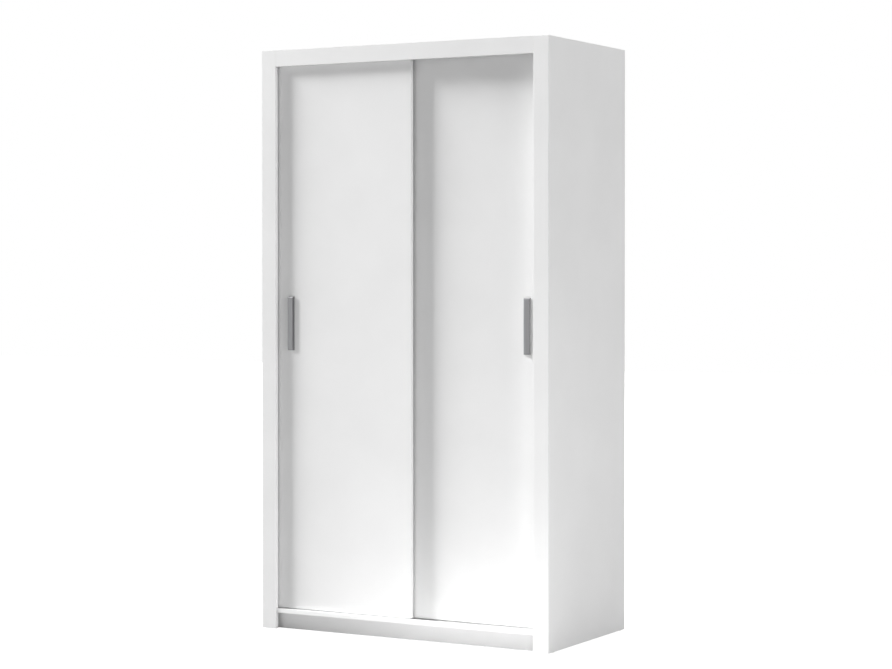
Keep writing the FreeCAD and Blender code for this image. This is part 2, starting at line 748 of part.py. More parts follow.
for index, (door, sign) in enumerate((("door_left", "-"), ("door_right", "+"))):
    face = door_faces[index]
    door_x = f"({sign}{inner} {'+' if sign == '-' else '-'} door_end_gap)"
    start = door_x if sign == "-" else f"({door_x} - {door_width})"
    panel = f"{door}_panel"
    board(panel, start, face, door_bottom, door_width, "door_board", f"{door_top} - {door_bottom}")

    for end, reach in (("a", "roller_inset"), ("b", f"({door_width} - roller_inset)")):
        x = f"({start} + {reach})"
        pocket = box(
            f"{door}Pocket_{end}", f"{x} - housing_length / 2",
            f"{face} + door_board - housing_depth", door_bottom,
            "housing_length", "housing_depth", "housing_height",
        )
        mortise = box(
            f"{door}Mortise_{end}", f"{x} - guide_length / 2",
            f"{face} + door_board / 2 - housing_depth / 2", f"{door_top} - guide_depth",
            "guide_length", "housing_depth", "guide_depth",
        )
        cutters[panel] += [pocket, mortise]
        plane = wheel_planes[index]
        groups.setdefault(f"{door}_roller_housings", []).append(copy(housing, x, plane, wheel_level))
        groups.setdefault(f"{door}_axles", []).append(copy(axle, x, plane, wheel_level, along["+Y"]))
        groups.setdefault(f"{door}_guides", []).append(copy(guide, x, guide_planes[index], door_top))
        groups[f"{door}_wheel_{end}"] = [copy(wheel, x, plane, wheel_level, along["+Y"])]
        for side in "+-":
            fasten(
                f"{door}_roller_screws", screw, screw, [panel],
                f"{x} {side} roller_screw_reach", f"{face} + door_board",
                f"{door_bottom} + housing_height / 2", "-Y",
            )

    # The handle is a slim cast pull, closed and bevelled towards the middle and at both ends.
    # Outwards it is a lip with a gap behind it for the fingertips.
    out = "-1" if sign == "-" else "1"
    inset = "handle_inset_left" if sign == "-" else "handle_inset_right"
    handle_x = f"({door_x} - {out} * {inset} - handle_width / 2)"
    handle_z = "(handle_middle - handle_height / 2)"
    handle_base = box(
        f"{door}_handle_base", handle_x, f"{face} - handle_proud + handle_bevel_depth", handle_z,
        "handle_width", "handle_proud - handle_bevel_depth", "handle_height",
    )
    handle_front = doc.addObject("Part::Wedge", f"{door}_handle_front")
    bind(
        handle_front,
        Xmin=0 if sign == "-" else "handle_bevel",
        Xmax="handle_width - handle_bevel" if sign == "-" else "handle_width",
        Ymin=0,
        Ymax="handle_bevel_depth",
        Zmin="handle_bevel",
        Zmax="handle_height - handle_bevel",
        X2min=0,
        X2max="handle_width",
        Z2min=0,
        Z2max="handle_height",
    )
    place(handle_front, handle_x, f"{face} - handle_proud", handle_z)
    finger_gap = box(
        f"{door}_finger_gap", handle_x if sign == "-" else f"{handle_x} + handle_foot",
        f"{face} - handle_proud + handle_lip", f"{handle_z} + handle_end_wall",
        "handle_width - handle_foot", "handle_proud - handle_lip", "handle_height - 2 * handle_end_wall",
    )
    handle_foot_x = f"({handle_x} + handle_width / 2 - {out} * (handle_width - handle_foot) / 2)"
    screws = f"{door}_handle_screws"
    for side in "+-":
        y = f"{face} + door_board"
        z = f"handle_middle {side} handle_screw_spacing / 2"
        fasten(screws, machine_screw, machine_screw, [panel], handle_foot_x, y, z, "-Y")
    handle_blank = join(f"{door}_handle_blank", handle_base, handle_front)
    nodes[f"{door}_handle"] = cut(f"{door}_handle_drilled", handle_blank, [finger_gap, *groups[screws]])

# ---------------------------------------------------------------- finished nodes

for label, blank in blanks.items():
    nodes[label] = cut(label + "Board", blank, cutters[label]) if cutters[label] else blank
for label, copies in groups.items():
    nodes[label] = gather(label + "Group", copies)
for label, piece in nodes.items():
    piece.Label = label
doc.recompute()

failed = [thing.Name for thing in doc.Objects if {"Invalid", "Error"} & set(thing.State)]
failed += [label for label, piece in nodes.items() if piece.Shape.isNull() or not piece.Shape.isValid()]
if failed:
    raise RuntimeError("these objects failed: " + ", ".join(failed))

os.makedirs("parts", exist_ok=True)
for label, piece in nodes.items():
    piece.Shape.exportStep(f"parts/{label}.step")
    print(label, len(piece.Shape.Solids), "solid(s)")
print(len(nodes), "nodes")
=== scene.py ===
import json
import math

import bmesh
import bpy
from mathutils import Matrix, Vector

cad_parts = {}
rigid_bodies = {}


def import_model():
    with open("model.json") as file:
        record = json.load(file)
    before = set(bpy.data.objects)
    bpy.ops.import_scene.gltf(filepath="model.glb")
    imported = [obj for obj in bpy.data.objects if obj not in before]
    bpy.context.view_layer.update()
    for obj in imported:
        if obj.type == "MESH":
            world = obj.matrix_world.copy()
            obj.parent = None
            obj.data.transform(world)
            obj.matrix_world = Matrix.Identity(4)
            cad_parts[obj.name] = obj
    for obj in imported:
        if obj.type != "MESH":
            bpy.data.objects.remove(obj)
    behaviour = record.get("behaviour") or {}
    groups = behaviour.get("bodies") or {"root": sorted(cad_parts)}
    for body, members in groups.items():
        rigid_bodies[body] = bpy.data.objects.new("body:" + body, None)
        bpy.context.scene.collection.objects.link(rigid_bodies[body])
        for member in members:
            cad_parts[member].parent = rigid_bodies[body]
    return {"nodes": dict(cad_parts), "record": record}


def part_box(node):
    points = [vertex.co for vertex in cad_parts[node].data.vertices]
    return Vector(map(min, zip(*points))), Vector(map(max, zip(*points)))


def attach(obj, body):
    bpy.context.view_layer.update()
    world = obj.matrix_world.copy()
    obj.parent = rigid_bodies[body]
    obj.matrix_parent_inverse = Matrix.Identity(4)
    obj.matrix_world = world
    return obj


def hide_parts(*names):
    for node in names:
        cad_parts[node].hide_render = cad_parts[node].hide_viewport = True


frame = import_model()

# Two-door sliding wardrobe in matt white melamine board. The front looks towards -Y.
# The dictionaries of the pieces give millimetres and degrees, and the studio's give metres.
nodes = frame["nodes"]
bodies = frame["record"]["behaviour"]["bodies"]
bodyOf = {name: body for body, names in bodies.items() for name in names}
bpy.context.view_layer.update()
mm = 0.001
near = 0.01 * mm  # two places closer than this are the same
mergeGap = 0.002 * mm
flatAngle = math.radians(0.5)  # faces that meet flatter than this become one
print("frame loaded:", len(nodes), "nodes")


def linearColour(code):  # sRGB hex to the linear values that shaders take
    shares = [int(code[i : i + 2], 16) / 255 for i in (1, 3, 5)]
    return [s / 12.92 if s <= 0.04045 else ((s + 0.055) / 1.055) ** 2.4 for s in shares] + [1.0]


def linkInto(tree, node, links):
    for socket, source in links.items():
        tree.links.new(source, node.inputs[socket])


def addNode(tree, kind, links=None, values=None, stops=None, **settings):
    node = tree.nodes.new("ShaderNode" + kind)
    for name, value in settings.items():
        setattr(node, name, value)
    for socket, value in (values or {}).items():
        node.inputs[socket].default_value = value
    linkInto(tree, node, links or {})
    for index, (at, code) in enumerate(stops or []):
        ramp = node.color_ramp.elements
        stop = ramp[index] if index < 2 else ramp.new(at)
        stop.position, stop.color = at, linearColour(code)
    return node


def perMetre(size):  # a pattern's scale, from the size of its features in millimetres
    return 1000 / size


def newMaterial(name, **values):
    material = bpy.data.materials.new(name)
    material.use_nodes = True
    tree = material.node_tree
    tree.nodes.clear()
    sockets = {key.replace("_", " "): value for key, value in values.items()}
    shader = addNode(tree, "BsdfPrincipled", values=sockets)
    addNode(tree, "OutputMaterial", {"Surface": shader.outputs[0]})
    place = addNode(tree, "TexCoord").outputs["Object"]
    return material, tree, shader, place


noiseLow, noiseHigh = 0.3, 0.7  # most of a noise's values lie between these


# Melamine-faced chipboard: paper set in resin and pressed on a fine matt plate, so an even white
# with a soft sheen. The plate's 0.3 mm grain is drawn at 3 mm, or it would not show.
melamine = {
    "tones": ((0.35, "#E9E9E9"), (0.65, "#ECECEC")),
    "cloud": 260,
    "grain": 3,
    "depth": 0.02,
    "rough": (0.40, 0.47),
}


def makeMelamine():
    material, tree, shader, place = newMaterial("mattWhiteMelamine", IOR=1.5)
    cloud = addNode(tree, "TexNoise", {"Vector": place},
                    {"Scale": perMetre(melamine["cloud"]), "Detail": 3.0})
    tone = addNode(tree, "ValToRGB", {"Fac": cloud.outputs["Fac"]}, stops=melamine["tones"])
    grain = addNode(tree, "TexNoise", {"Vector": place},
                    {"Scale": perMetre(melamine["grain"]), "Detail": 2.0})
    smoothest, roughest = melamine["rough"]
    sheen = addNode(tree, "MapRange", {"Value": grain.outputs["Fac"]},
                    {"To Min": smoothest, "To Max": roughest})
    relief = addNode(tree, "Bump", {"Height": grain.outputs["Fac"]},
                     {"Strength": 1.0, "Distance": melamine["depth"] * mm})
    linkInto(tree, shader, {"Base Color": tone.outputs[0], "Normal": relief.outputs[0],
                            "Roughness": sheen.outputs[0]})
    return material


# ABS edge band, extruded and glued on hot: a touch whiter and glossier than the board's face,
# with a very faint grain. The grain is under 0.2 mm, drawn at 1.5 mm, or it would not show.
edgeBand = {"tones": ((0.3, "#EDEDED"), (0.7, "#F1F1F1")), "grain": 1.5, "depth": 0.008,
            "rough": 0.34}


def makeEdgeBand():
    material, tree, shader, place = newMaterial(
        "whiteAbsEdgeBand", IOR=1.53, Roughness=edgeBand["rough"])
    grain = addNode(tree, "TexNoise", {"Vector": place},
                    {"Scale": perMetre(edgeBand["grain"]), "Detail": 1.0})
    tone = addNode(tree, "ValToRGB", {"Fac": grain.outputs["Fac"]}, stops=edgeBand["tones"])
    relief = addNode(tree, "Bump", {"Height": grain.outputs["Fac"]},
                     {"Strength": 1.0, "Distance": edgeBand["depth"] * mm})
    linkInto(tree, shader, {"Base Color": tone.outputs[0], "Normal": relief.outputs[0]})
    return material


# Raw chipboard, sawn: pale and dark wood chips pressed in resin, 1 to 5 mm across, dull and rough.
chipboard = {
    "tones": ((0.0, "#8A6A45"), (0.35, "#B08D60"), (0.7, "#CFAF82"), (1.0, "#DCC39B")),
    "chip": 3.2,
    "bend": 6,
    "bendBy": 4,
    "fine": 1.1,
    "depth": 0.25,
    "strength": 0.6,
    "rough": 0.86,
}


def makeChipboard():
    material, tree, shader, place = newMaterial(
        "rawChipboard", IOR=1.45, Roughness=chipboard["rough"])
    bend = addNode(tree, "TexNoise", {"Vector": place},
                   {"Scale": perMetre(chipboard["bend"]), "Detail": 2.0})
    bent = addNode(tree, "VectorMath", {0: bend.outputs["Color"], 2: place},
                   {1: [chipboard["bendBy"] * mm] * 3}, operation="MULTIPLY_ADD")
    chips = addNode(tree, "TexVoronoi", {"Vector": bent.outputs[0]},
                    {"Scale": perMetre(chipboard["chip"])})
    shade = addNode(tree, "SeparateColor", {"Color": chips.outputs["Color"]})
    tone = addNode(tree, "ValToRGB", {"Fac": shade.outputs[0]}, stops=chipboard["tones"])
    fine = addNode(tree, "TexNoise", {"Vector": place},
                   {"Scale": perMetre(chipboard["fine"]), "Detail": 3.0})
    height = addNode(tree, "Math", {0: fine.outputs["Fac"], 1: chips.outputs["Distance"]},
                     operation="ADD")
    relief = addNode(tree, "Bump", {"Height": height.outputs[0]},
                     {"Strength": chipboard["strength"], "Distance": chipboard["depth"] * mm})
    linkInto(tree, shader, {"Base Color": tone.outputs[0], "Normal": relief.outputs[0]})
    return material


# Lacquered hardboard, the back's inner face: rolled white paint, thin and smooth, with
# the roller's faint orange peel.
lacquer = {"tones": ((0.3, "#E4E4E1"), (0.7, "#E9E9E6")), "peel": 5, "depth": 0.03, "rough": 0.38}


def makeLacquer():
    material, tree, shader, place = newMaterial(
        "whiteLacqueredHardboard", IOR=1.5, Roughness=lacquer["rough"])
    peel = addNode(tree, "TexNoise", {"Vector": place},
                   {"Scale": perMetre(lacquer["peel"]), "Detail": 2.0})
    tone = addNode(tree, "ValToRGB", {"Fac": peel.outputs["Fac"]}, stops=lacquer["tones"])
    relief = addNode(tree, "Bump", {"Height": peel.outputs["Fac"]},
                     {"Strength": 1.0, "Distance": lacquer["depth"] * mm})
    linkInto(tree, shader, {"Base Color": tone.outputs[0], "Normal": relief.outputs[0]})
    return material


# Raw hardboard, the back's outer face: brown steamed fibres with darker flecks, and the print of
# the press's wire screen. The wires are 1.2 mm apart, drawn at 6 mm so that the weave shows.
hardboard = {
    "tones": ((0.3, "#6E4E33"), (0.5, "#8B6744"), (0.72, "#9E7A55")),
    "fibre": 9,
    "fibreEdge": 0.65,
    "fibreSwirl": 1.2,
    "fleck": 30,
    "fleckShade": (0.88, 1.08),
    "screen": 6,
    "depth": 0.12,
    "strength": 0.7,
    "rough": 0.78,
}
oneBand = math.pi / 10  # a wave texture of this scale has one band per metre


def makeHardboard():
    material, tree, shader, place = newMaterial(
        "rawBrownHardboard", IOR=1.45, Roughness=hardboard["rough"])
    fibre = addNode(tree, "TexNoise", {"Vector": place},
                    {"Scale": perMetre(hardboard["fibre"]), "Detail": 6.0,
                     "Roughness": hardboard["fibreEdge"], "Distortion": hardboard["fibreSwirl"]})
    tone = addNode(tree, "ValToRGB", {"Fac": fibre.outputs["Fac"]}, stops=hardboard["tones"])
    fleck = addNode(tree, "TexNoise", {"Vector": place},
                    {"Scale": perMetre(hardboard["fleck"]), "Detail": 2.0})
    darkest, palest = hardboard["fleckShade"]
    patch = addNode(tree, "MapRange", {"Value": fleck.outputs["Fac"]},
                    {"From Min": noiseLow, "From Max": noiseHigh,
                     "To Min": darkest, "To Max": palest})
    mixed = addNode(tree, "VectorMath", {0: tone.outputs[0], "Scale": patch.outputs[0]},
                    operation="SCALE")
    wires = [
        addNode(tree, "TexWave", {"Vector": place},
                {"Scale": oneBand * perMetre(hardboard["screen"])}, bands_direction=way)
        for way in ("X", "Z")
    ]
    screen = addNode(tree, "Math", {0: wires[0].outputs["Fac"], 1: wires[1].outputs["Fac"]},
                     operation="MULTIPLY")
    height = addNode(tree, "Math", {0: screen.outputs[0], 1: fibre.outputs["Fac"]}, operation="ADD")
    relief = addNode(tree, "Bump", {"Height": height.outputs[0]},
                     {"Strength": hardboard["strength"], "Distance": hardboard["depth"] * mm})
    linkInto(tree, shader, {"Base Color": mixed.outputs[0], "Normal": relief.outputs[0]})
    return material


# Metals: each a base tone with fine marks along the way it was made. Brushing and die lines are
# about 0.1 mm apart, drawn at the widths given. Along stretches them: a small share on an axis
# makes long streaks that way.
metals = {
    # satin anodised pull, brushed up and down before anodising: mid grey with long fine streaks
    "satinPull": {"name": "satinAnodisedAluminium", "tones": ("#8E8E90", "#9C9C9E"), "line": 1.2,
                  "along": (1, 1, 0.02), "rough": (0.36, 0.46), "depth": 0.01},
    # natural anodised extrusion: pale silver, die lines along X
    "extrusion": {"name": "naturalAnodisedAluminium", "tones": ("#C3C4C6", "#CFD0D2"), "line": 0.8,
                  "along": (0.02, 1, 1), "rough": (0.34, 0.44), "depth": 0.01},
    # zinc-plated steel: bright blue-grey crystals, slightly uneven
    "zincPlate": {"name": "zincPlatedSteel", "tones": ("#B4B7BC", "#C9CCD0"), "line": 1.0,
                  "along": (1, 1, 1), "rough": (0.25, 0.40), "depth": 0.01},
    # die-cast zinc: dull grey with flow marks
    "castZinc": {"name": "dieCastZinc", "tones": ("#8D9094", "#A3A6AA"), "line": 2.0,
                 "along": (1, 1, 1), "rough": (0.42, 0.58), "depth": 0.03},
    # chromed tube: mirror bright, with the tube's faint polishing lines round it
    "chrome": {"name": "chromedSteel", "tones": ("#D6D8DA", "#DEDFE0"), "line": 3.0,
               "along": (1, 0.1, 0.1), "rough": (0.06, 0.12), "depth": 0.002},
}
streakStrength = 0.5


def makeStreakedMetal(name, tones, line, along, rough, depth):
    material, tree, shader, place = newMaterial(name, Metallic=1.0)
    spread = addNode(tree, "Mapping", {"Vector": place}, {"Scale": along})
    streak = addNode(tree, "TexNoise", {"Vector": spread.outputs[0]},
                     {"Scale": perMetre(line), "Detail": 3.0, "Roughness": 0.6})
    tone = addNode(tree, "ValToRGB", {"Fac": streak.outputs["Fac"]},
                   stops=[(noiseLow, tones[0]), (noiseHigh, tones[1])])
    sheen = addNode(tree, "MapRange", {"Value": streak.outputs["Fac"]},
                    {"From Min": noiseLow, "From Max": noiseHigh,
                     "To Min": rough[0], "To Max": rough[1]})
    relief = addNode(tree, "Bump", {"Height": streak.outputs["Fac"]},
                     {"Strength": streakStrength, "Distance": depth * mm})
    linkInto(tree, shader, {"Base Color": tone.outputs[0], "Normal": relief.outputs[0],
                            "Roughness": sheen.outputs[0]})
    return material


# Plastics: moulded in a lightly spark-eroded tool. Its 0.5 mm texture is drawn at the grain given.
plastics = {
    "whitePlastic": {"name": "whitePolypropylene", "tones": ("#E2E2DF", "#E9E9E6"), "grain": 2.0,
                     "rough": 0.42, "ior": 1.49},
    "greyPlastic": {"name": "greyAbs", "tones": ("#8E9093", "#9A9CA0"), "grain": 1.5,
                    "rough": 0.48, "ior": 1.53},
    "nylon": {"name": "naturalNylon", "tones": ("#DAD6CB", "#E4E1D7"), "grain": 2.5,
              "rough": 0.36, "ior": 1.53},
}
mouldDepth = 0.03


def makeMouldedPlastic(name, tones, grain, rough, ior):
    material, tree, shader, place = newMaterial(name, IOR=ior, Roughness=rough)
    skin = addNode(tree, "TexNoise", {"Vector": place}, {"Scale": perMetre(grain), "Detail": 2.0})
    tone = addNode(tree, "ValToRGB", {"Fac": skin.outputs["Fac"]},
                   stops=[(noiseLow, tones[0]), (noiseHigh, tones[1])])
    relief = addNode(tree, "Bump", {"Height": skin.outputs["Fac"]},
                     {"Strength": 1.0, "Distance": mouldDepth * mm})
    linkInto(tree, shader, {"Base Color": tone.outputs[0], "Normal": relief.outputs[0]})
    return material


# Beech, turned and fluted: pink-brown, flecked by rays 1 to 2 mm long, open-grained and dull.
beech = {
    "tones": ((0.3, "#B08A62"), (0.6, "#CBA67B"), (0.8, "#D9BA92")),
    "ray": 1.5,
    "swirl": 0.8,
    "depth": 0.05,
    "rough": 0.7,
}


def makeBeech():
    material, tree, shader, place = newMaterial("rawBeech", IOR=1.45, Roughness=beech["rough"])
    grain = addNode(tree, "TexNoise", {"Vector": place},
                    {"Scale": perMetre(beech["ray"]), "Detail": 4.0, "Distortion": beech["swirl"]})
    tone = addNode(tree, "ValToRGB", {"Fac": grain.outputs["Fac"]}, stops=beech["tones"])
    relief = addNode(tree, "Bump", {"Height": grain.outputs["Fac"]},
                     {"Strength": 1.0, "Distance": beech["depth"] * mm})
    linkInto(tree, shader, {"Base Color": tone.outputs[0], "Normal": relief.outputs[0]})
    return material


# Soft PVC bumper, cast clear: milky, slightly yellow, lets a little light through.
softPvc = {"tones": ((0.3, "#D6D5CC"), (0.7, "#E2E1D9")), "haze": 2.5, "depth": 0.02,
           "through": 0.4, "reach": 2, "rough": 0.32}


def makeClearRubber():
    material, tree, shader, place = newMaterial(
        "clearSoftPvc", IOR=1.5, Roughness=softPvc["rough"],
        Subsurface_Weight=softPvc["through"], Subsurface_Scale=softPvc["reach"] * mm)
    haze = addNode(tree, "TexNoise", {"Vector": place},
                   {"Scale": perMetre(softPvc["haze"]), "Detail": 1.0})
    tone = addNode(tree, "ValToRGB", {"Fac": haze.outputs["Fac"]}, stops=softPvc["tones"])
    relief = addNode(tree, "Bump", {"Height": haze.outputs["Fac"]},
                     {"Strength": 1.0, "Distance": softPvc["depth"] * mm})
    linkInto(tree, shader, {"Base Color": tone.outputs[0], "Normal": relief.outputs[0]})
    return material


finishes = {
    "melamine": makeMelamine(),
    "edgeBand": makeEdgeBand(),
    "chipboard": makeChipboard(),
    "lacquer": makeLacquer(),
    "hardboard": makeHardboard(),
    "beech": makeBeech(),
    "clearPvc": makeClearRubber(),
    **{key: makeStreakedMetal(**look) for key, look in metals.items()},
    **{key: makeMouldedPlastic(**look) for key, look in plastics.items()},
}
print("materials made:", len(finishes))


def pickOnly(piece):
    for thing in bpy.context.view_layer.objects:
        thing.select_set(False)
    piece.select_set(True)
    bpy.context.view_layer.objects.active = piece


def openEdit(piece, part="VERT"):
    pickOnly(piece)
    bpy.ops.object.mode_set(mode="EDIT")
    bpy.ops.mesh.select_mode(type=part)
    bpy.ops.mesh.select_all(action="SELECT")


def closeEdit():
    bpy.ops.object.mode_set(mode="OBJECT")


def pick(piece, kind, test):  # selects the vertices, edges or faces that pass the test
    bpy.ops.mesh.select_all(action="DESELECT")
    shape = bmesh.from_edit_mesh(piece.data)
    for part in list(getattr(shape, kind)):
        if test(part):
            part.select_set(True)
    shape.select_flush_mode()
    bmesh.update_edit_mesh(piece.data)


def newPrimitive(kind, name, **settings):
    for thing in bpy.context.view_layer.objects:
        thing.select_set(False)
    getattr(bpy.ops.mesh, f"primitive_{kind}_add")(**settings)
    piece = bpy.context.view_layer.objects.active
    piece.name = piece.data.name = name
    bpy.ops.object.transform_apply(location=True, rotation=True, scale=True)
    return piece


def applyModifier(piece, kind, **settings):
    pickOnly(piece)
    modifier = piece.modifiers.new(kind.lower(), kind)
    for name, value in settings.items():
        setattr(modifier, name, value)
    bpy.ops.object.modifier_apply(modifier=modifier.name)


def smoothBy(piece, degrees):  # flat faces stay flat, and the eased corners roll into them
    pickOnly(piece)
    bpy.ops.object.shade_smooth_by_angle(angle=math.radians(degrees))
    applyModifier(piece, "WEIGHTED_NORMAL", mode="FACE_AREA", weight=100, keep_sharp=True)


def copyNode(node, name):  # a merged copy of a CAD node, with its flat faces whole again
    piece = bpy.data.objects.new(name, nodes[node].data.copy())
    bpy.context.scene.collection.objects.link(piece)
    piece.data.name = name
    piece.data.materials.clear()
    openEdit(piece)
    bpy.ops.mesh.remove_doubles(threshold=mergeGap)
    bpy.ops.mesh.customdata_custom_splitnormals_clear()
    bpy.ops.mesh.select_all(action="SELECT")
    bpy.ops.mesh.dissolve_limited(angle_limit=flatAngle)
    closeEdit()
    return piece


def giveFinishes(piece, names, choose=None):  # choose gives a face's place in names
    for name in names:
        piece.data.materials.append(finishes[name])
    for face in piece.data.polygons if choose else []:
        face.material_index = choose(face)


def hangUp(piece, *stoodFor, slot):
    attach(piece, bodyOf[stoodFor[0]])
    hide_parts(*stoodFor)


# Boards: the thickness of the edge band, and how far and in how many steps a corner is rounded.
# Smooth is the angle under which two faces shade as one.
boardCut = {"band": 0.8, "round": 0.6, "steps": 2, "smooth": 40}
doorCut = {"band": 2.0, "round": 1.0, "steps": 3, "smooth": 40}
axes = "XYZ"
squarely = 0.95  # a face whose normal has this share of an axis looks along it


def shapeBoard(node, name, raw, cut):
    # Every corner is eased, then the band is scored off along every side but the raw ones.
    low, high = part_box(node)
    piece = copyNode(node, name)
    thin = min(range(3), key=lambda axis: high[axis] - low[axis])
    across = [axis for axis in range(3) if axis != thin]
    ends = {"-": (low, -1), "+": (high, 1)}
    banded = [(axis, limit[axis], sign) for axis in across
              for mark, (limit, sign) in ends.items()
              if mark + axes[axis] not in raw]
    band, ease = cut["band"] * mm, cut["round"] * mm
    openEdit(piece, "EDGE")

    def onCorner(edge):
        one, two = (corner.co for corner in edge.verts)
        shared = [axis for axis in range(3)
                  for limit in (low, high)
                  if abs(one[axis] - limit[axis]) < near and abs(two[axis] - limit[axis]) < near]
        return len(shared) > 1

    pick(piece, "edges", onCorner)
    bpy.ops.mesh.bevel(
        offset=ease, offset_type="OFFSET", segments=cut["steps"], affect="EDGES")
    for axis, edge, sign in banded:
        bpy.ops.mesh.select_all(action="SELECT")
        at, way = [0.0] * 3, [0.0] * 3
        at[axis], way[axis] = edge - sign * band, 1.0
        bpy.ops.mesh.bisect(plane_co=at, plane_no=way)
    closeEdit()

    def choose(face):
        for axis, edge, sign in banded:
            if sign * (edge - face.center[axis]) < band - near:
                return 1
        sawn = max(abs(face.normal[axis]) for axis in across) > squarely
        return 2 if sawn else 0

    giveFinishes(piece, ("melamine", "edgeBand", "chipboard"), choose)
    smoothBy(piece, cut["smooth"])
    hangUp(piece, node, slot="white_melamine")


# Each board's CAD node and its unbanded sides, which other boards or the wall hide.
boards = {
    "leftSideBoard": ("side_left", ["-Y", "+Y", "-Z"]),
    "rightSideBoard": ("side_right", ["-Y", "+Y", "-Z"]),
    "topBoard": ("top_panel", ["-X", "+X", "-Y", "+Y"]),
    "bottomBoard": ("bottom_panel", ["-X", "+X", "+Y"]),
    "dividerBoard": ("centre_divider", ["+Y", "-Z", "+Z"]),
    "leftStile": ("stile_left", ["-Z"]),
    "rightStile": ("stile_right", ["-Z"]),
    "headerBoard": ("header", ["-X", "+X"]),
    "frontPlinthBoard": ("front_plinth", ["-X", "+X", "+Z"]),
    "rearPlinthBoard": ("rear_plinth", ["-X", "+X", "+Z"]),
    "middlePlinthBoard": ("middle_plinth", ["-Y", "+Y", "+Z"]),
    "hatShelfBoard": ("hat_shelf", ["-X", "+X", "+Y"]),
    **{f"shelfBoard{n}": (f"shelf_{n}", ["-X", "+X", "+Y"]) for n in range(1, 6)},
}
for name, (node, raw) in boards.items():
    shapeBoard(node, name, raw, boardCut)
for side in ("left", "right"):
    shapeBoard(f"door_{side}_panel", f"{side}DoorBoard", [], doorCut)
print("boards banded and eased:", len(boards) + 2)

# Backs: rounded in one step where faces meet at more than the corner angle.
backCut = {"round": 0.3, "steps": 1, "corner": 60}


def shapeBack(node, name):
    low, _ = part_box(node)
    piece = copyNode(node, name)
    applyModifier(piece, "BEVEL", width=backCut["round"] * mm, segments=backCut["steps"],
                  limit_method="ANGLE", angle_limit=math.radians(backCut["corner"]))
    giveFinishes(piece, ("lacquer", "hardboard"),
                 lambda face: 0 if abs(face.center.y - low.y) < near else 1)
    hangUp(piece, node, slot="white_fibreboard")


for side in ("left", "right"):
    shapeBack(f"back_{side}", f"{side}BackBoard")
print("backs made")


# The pull: a flat bar with a sloped rim, hollow behind but for a foot at its inner side.
pullCut = {"foot": 10, "lip": 2.2, "endWall": 4, "slope": 4, "slopeDepth": 2, "ease": 0.35,
           "steps": 2, "past": 1, "corner": 20, "smooth": 12}


def shapePull(side):
    node = f"door_{side}_handle"
    low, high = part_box(node)
    inner, outer, out = (high.x, low.x, -1) if side == "left" else (low.x, high.x, 1)
    slope = pullCut["slope"] * mm
    piece = newPrimitive("cube", f"{side}DoorPull", size=1, location=(low + high) / 2,
                         scale=high - low)
    openEdit(piece)
    for at, way in (
        ((inner + out * slope, 0, 0), (1, 0, 0)),
        ((0, 0, low.z + slope), (0, 0, 1)),
        ((0, 0, high.z - slope), (0, 0, 1)),
    ):
        bpy.ops.mesh.select_all(action="SELECT")
        bpy.ops.mesh.bisect(plane_co=at, plane_no=way)

    def onRim(corner):
        at = corner.co
        ends = min(abs(at.z - low.z), abs(at.z - high.z))
        return abs(at.y - low.y) < near and (abs(at.x - inner) < near or ends < near)

    pick(piece, "verts", onRim)
    bpy.ops.transform.translate(value=(0, pullCut["slopeDepth"] * mm, 0))
    for end, sign in ((low.z, 1), (high.z, -1)):  # the mitre where two slopes meet

        def onMitre(corner):
            at = corner.co
            outside = abs(at.x - inner) < near and abs(at.z - end) < near and at.y < high.y - near
            inside = (abs(at.x - inner - out * slope) < near
                      and abs(at.z - end - sign * slope) < near)
            return outside or (inside and at.y < high.y - near)

        pick(piece, "verts", onMitre)
        bpy.ops.mesh.vert_connect()
    closeEdit()
    past = pullCut["past"] * mm  # how far the cut runs on past an open side
    gapX = [outer + out * past, inner + out * pullCut["foot"] * mm]
    gapY = [low.y + pullCut["lip"] * mm, high.y + past]
    gapZ = [low.z + pullCut["endWall"] * mm, high.z - pullCut["endWall"] * mm]
    middle = [sum(pair) / 2 for pair in (gapX, gapY, gapZ)]
    size = [abs(pair[1] - pair[0]) for pair in (gapX, gapY, gapZ)]
    finger = newPrimitive("cube", "fingerGap", size=1, location=middle, scale=size)
    applyModifier(piece, "BOOLEAN", object=finger, operation="DIFFERENCE", solver="EXACT")
    bpy.data.objects.remove(finger)
    openEdit(piece)
    bpy.ops.mesh.remove_doubles(threshold=mergeGap)
    bpy.ops.mesh.dissolve_limited(angle_limit=flatAngle)
    closeEdit()
    applyModifier(piece, "BEVEL", width=pullCut["ease"] * mm, segments=pullCut["steps"],
                  limit_method="ANGLE", angle_limit=math.radians(pullCut["corner"]))
    giveFinishes(piece, ("satinPull",))
    smoothBy(piece, pullCut["smooth"])
    hangUp(piece, node, slot="satin_aluminium")


for side in ("left", "right"):
    shapePull(side)
print("pulls made")


# The wheel: a rim and a hub with a sunk web between them on both faces, and a bore for the axle.
wheelCut = {"sides": 64, "rim": 2.5, "dish": 1.0, "hub": 4.0, "bore": 2.05, "draft": 0.4,
            "ease": 0.3, "steps": 2, "corner": 40, "smooth": 35}


